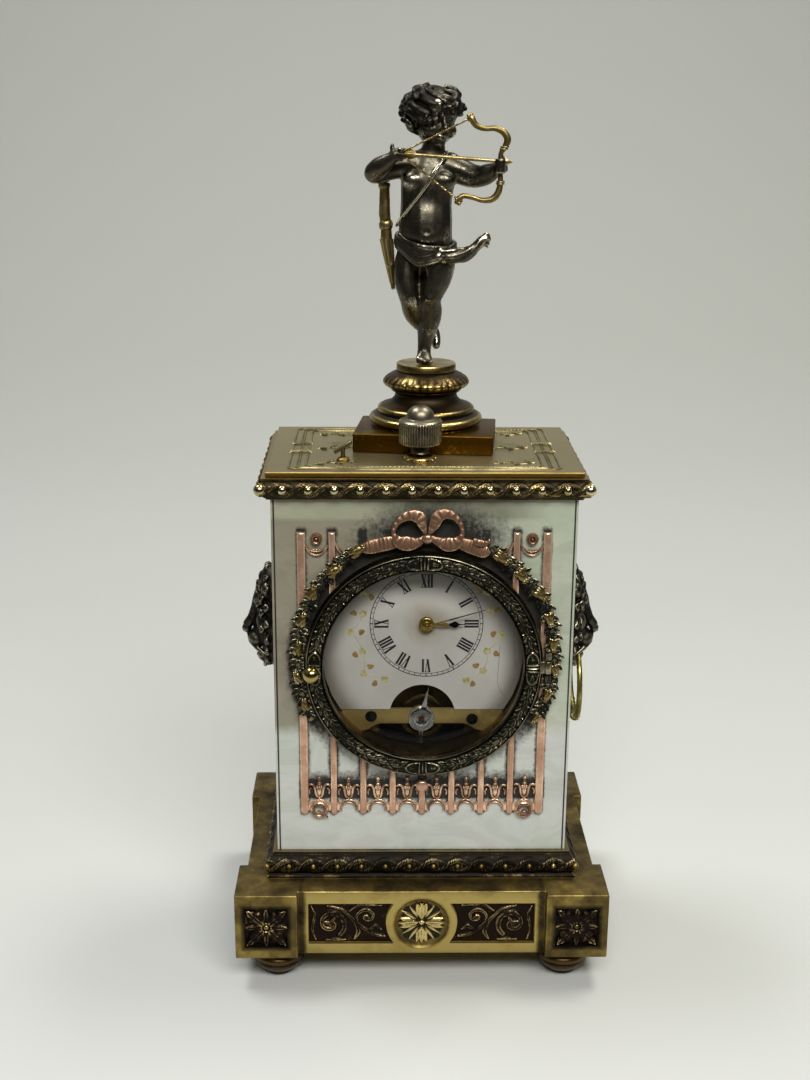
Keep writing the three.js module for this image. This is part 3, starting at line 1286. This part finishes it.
const strapShares = [
  [0.05, -0.05, 0.735, 0.008, 0.008], [0.02, -0.076, 0.7, 0.008, 0.006], [-0.012, -0.078, 0.65, 0.008, 0.006],
  [-0.05, -0.07, 0.6, 0.008, 0.006], [-0.082, -0.052, 0.555, 0.008, 0.006], [-0.104, -0.02, 0.515, 0.008, 0.006],
];
const quiverShares = [
  [-0.157, 0.022, 0.644, 0.022, 0.022], [-0.156, 0.022, 0.63, 0.018, 0.018], [-0.156, 0.022, 0.54, 0.021, 0.021],
  [-0.152, 0.022, 0.512, 0.019, 0.019], [-0.151, 0.022, 0.505, 0.025, 0.025], [-0.151, 0.022, 0.49, 0.025, 0.025],
  [-0.15, 0.022, 0.482, 0.02, 0.02], [-0.148, 0.022, 0.45, 0.021, 0.021], [-0.134, 0.022, 0.36, 0.015, 0.015],
  [-0.126, 0.022, 0.29, 0.009, 0.009], [-0.124, 0.022, 0.266, 0.004, 0.004],
];
const quiverLugShares = [[-0.15, 0.01, 0.52, 0.01, 0.01], [-0.09, 0.004, 0.52, 0.01, 0.01]];

// Bow with its string and the nocked arrow, cast as one; extra fattens it for the hands' grip
function bowForm(extra) {
  const path = new THREE.CatmullRomCurve3(bowShares.map(([x, up]) => figurePlace(x, bowPlane, up)));
  const steps = 22;
  const stations = Array.from({ length: steps + 1 }, (_, i) => {
    const at = (i / steps) * (bowShares.length - 1);
    const low = Math.min(Math.floor(at), bowShares.length - 2);
    const radius = THREE.MathUtils.lerp(bowShares[low][2], bowShares[low + 1][2], at - low) * figureHeight + extra;
    return { place: path.getPoint(i / steps), wide: radius, deep: radius };
  });
  const nock = figurePlace(nockShares[0], bowPlane, nockShares[1]);
  const tips = [bowShares[1], bowShares[bowShares.length - 2]];
  const thin = 0.0035 * figureHeight + extra;
  const strings = tips.map(([x, up]) => solid(limb([
    { place: figurePlace(x, bowPlane, up), wide: thin, deep: thin }, { place: nock, wide: thin, deep: thin }], 4)));
  const shaft = 0.0075 * figureHeight + extra;
  const [tipX, tipUp] = arrowTipShares;
  const along = (share) => nock.clone().lerp(figurePlace(tipX, bowPlane, tipUp), share);
  const arrow = limb([[-0.02, 1.6], [0.03, 1.6], [0.06, 1], [0.94, 1], [0.95, 1.8], [1, 0.2]].map(([share, swell]) =>
    ({ place: along(share), wide: swell === 1 ? shaft : shaft * swell, deep: shaft })), 5);
  return fuse([solid(limb(stations, 5)), ...strings, solid(arrow)]);
}

// Hair: curls set on the skull along a spiral
function curls() {
  const count = 10;
  return Array.from({ length: count }, (_, i) => {
    const rise = 1 - (1.02 * (i + 0.5)) / count;
    const turn = i * 2.4;
    const reach = Math.sqrt(Math.max(0, 1 - rise * rise));
    const back = 0.012;
    return figureEgg(0.014 + 0.098 * reach * Math.cos(turn), back + 0.096 * reach * Math.sin(turn), 0.888 + 0.088 * rise,
      0.036, 0.036, 0.03, 4, 3);
  });
}

function face() {
  return [
    figureEgg(0.034, -0.03, 0.826, 0.07, 0.062, 0.076, 8, 6),
    figureEgg(0.064, -0.086, 0.815, 0.011, 0.018, 0.016, 4, 3),
    figureEgg(0.06, -0.07, 0.782, 0.018, 0.014, 0.016, 4, 3),
  ];
}

function cupidFigure() {
  const parts = [
    figureLimb(torsoShares, 9, 0),
    figureEgg(0.008, 0.012, 0.89, 0.096, 0.096, 0.096, 8, 6),
    ...face(),
    ...curls(),
    figureLimb(frontLegShares, 7, 0),
    figureLimb(frontFootShares, 5, 0),
    figureLimb(backLegShares, 7, 0),
    figureLimb(backFootShares, 5, 0),
    figureLimb(drawingArmShares, 6, 0),
    figureLimb(bowArmShares, 6, 0),
    figureLimb(wrapShares, 4, 0),
    figureLimb(upperFoldShares, 4, 0),
    figureLimb(flutterShares, 5, 0),
    figureLimb(strapShares, 4, 0),
    figureEgg(-0.008, 0.02, 0, 0.034, 0.05, 0.03, 6, 4),
  ];
  const ground = solid(block(figureHeight, figureHeight, figureHeight, socleX, socleY, figureFoot - figureHeight));
  return fuse(parts).subtract(ground).subtract(bowForm(clearance));
}

function quiver() {
  const body = figureLimb(quiverShares, 8, 0).add(figureLimb(quiverLugShares, 5, 0));
  return body.subtract(figureLimb(torsoShares, 9, clearance)).subtract(figureLimb(drawingArmShares, 6, clearance))
    .subtract(figureLimb(backLegShares, 7, clearance)).subtract(figureLimb(wrapShares, 4, clearance))
    .subtract(figureLimb(strapShares, 4, clearance));
}

// One named mesh from a solid
function piece(name, form, material) {
  const { vertProperties, triVerts } = form.getMesh();
  const geometry = new THREE.BufferGeometry();
  geometry.setAttribute('position', new THREE.Float32BufferAttribute(Float32Array.from(vertProperties), 3));
  geometry.setIndex(Array.from(triVerts));
  geometry.computeVertexNormals();
  const mesh = new THREE.Mesh(geometry, material);
  mesh.name = name;
  return mesh;
}

const clock = new THREE.Group();
const footX = baseHalfWidth - footInset;
const footY = baseHalfDepth - footSetback;

clock.add(
  piece('base_plinth', basePlinth(), gilt),
  piece('foot_front_left', foot(-footX, -footY), darkGilt),
  piece('foot_front_right', foot(footX, -footY), darkGilt),
  piece('foot_back_left', foot(-footX, footY), darkGilt),
  piece('foot_back_right', foot(footX, footY), darkGilt),
  piece('corner_tile_left', cornerTile(-1), darkGilt),
  piece('corner_tile_right', cornerTile(1), darkGilt),
  piece('scroll_panel_left', scrollPanel(-1), darkGilt),
  piece('scroll_panel_right', scrollPanel(1), darkGilt),
  piece('centre_flower', centreFlower(), gilt),
  piece('step_moulding', stepMoulding(), darkGilt),
  piece('case_shell', caseShell(), plateBrass),
  piece('front_panel', frontPanel(-1), pearl),
  piece('back_panel', frontPanel(1), pearl),
  piece('left_panel', sidePanel(-1), pearl),
  piece('right_panel', sidePanel(1), pearl),
  piece('cornice', cornice(), darkGilt),
  piece('top_plate', topPlate(), gilt),
);

clock.add(
  piece('bezel_seat', bezelSeat(), darkGilt),
  piece('bezel', bezel(), agedSilver),
  piece('bezel_glass', solid(frontDisc(glassRadius, 0, glassFront + glassThickness, glassFront, 40, 0, dialHeight)), crystal),
  piece('bezel_knob', bezelKnob(), gilt),
  piece('hinge_knuckles', hingeKnuckles(), agedSilver),
  piece('hinge_pin', hingePin(), steel),
  piece('trellis', trellis(), roseGold),
  piece('ribbon_bow', ribbonBow(), roseGold),
  piece('garland_left', garland(-1), agedSilver),
  piece('garland_right', garland(1), agedSilver),
);

clock.add(
  piece('dial', dial(), enamel),
  piece('main_plate', mainPlate(), plateBrass),
  piece('back_plate', backPlateWithPillars(), plateBrass),
  piece('mainspring_barrel', barrel(), plateBrass),
  piece('centre_arbor', centreArbor(), steel),
  piece('minute_wheel', minuteWheel(), plateBrass),
  piece('hour_wheel', hourWheel(), plateBrass),
  piece('hour_hand', hand(hourHandLength, hourHubRadius, pipeInnerRadius, 0.75, hourHandBack, -hourHandTurn), blackened),
  piece('minute_hand', hand(minuteHandLength, minuteHubRadius, 0, 0.3, minuteHandBack, minuteHandTurn), blackened),
  piece('balance_wheel', balance(), plateBrass),
  piece('balance_staff', balanceStaff(), steel),
  piece('hairspring', hairspring(), steel),
  piece('balance_bridge', balanceBridge(), plateBrass),
  piece('bridge_screw_left', bridgeScrew(-1), steel),
  piece('bridge_screw_right', bridgeScrew(1), steel),
  piece('regulator_index', regulator(), steel),
  piece('jewel_cap', jewelCap(), steel),
);

const leftMask = piece('lion_mask_left', lionMask(-1), agedSilver);
leftMask.rotation.z = -Math.PI / 2;
leftMask.position.set(-caseHalfWidth, 0, maskHeight);
const rightMask = piece('lion_mask_right', lionMask(1), agedSilver);
rightMask.rotation.z = Math.PI / 2;
rightMask.position.set(caseHalfWidth, 0, maskHeight);

clock.add(
  leftMask,
  rightMask,
  piece('ring_handle_right', ringHandle(), darkGilt),
  piece('crown', crown(), steel),
  piece('crown_collar', crownCollar(), darkGilt),
  piece('winding_stem', windingStem(), steel),
  piece('set_pin', setPin(), darkGilt),
  piece('set_pin_rod', setPinRod(), steel),
  piece('set_pin_bush', setPinBush(), darkGilt),
  piece('pedestal_block', pedestalBlock(), gilt),
  piece('pedestal_socle', socle(), gilt),
  piece('archer_figure', cupidFigure(), figureSilver),
  piece('bow_and_arrow', bowForm(0), gilt),
  piece('quiver', quiver(), figureSilver),
);

export default clock;
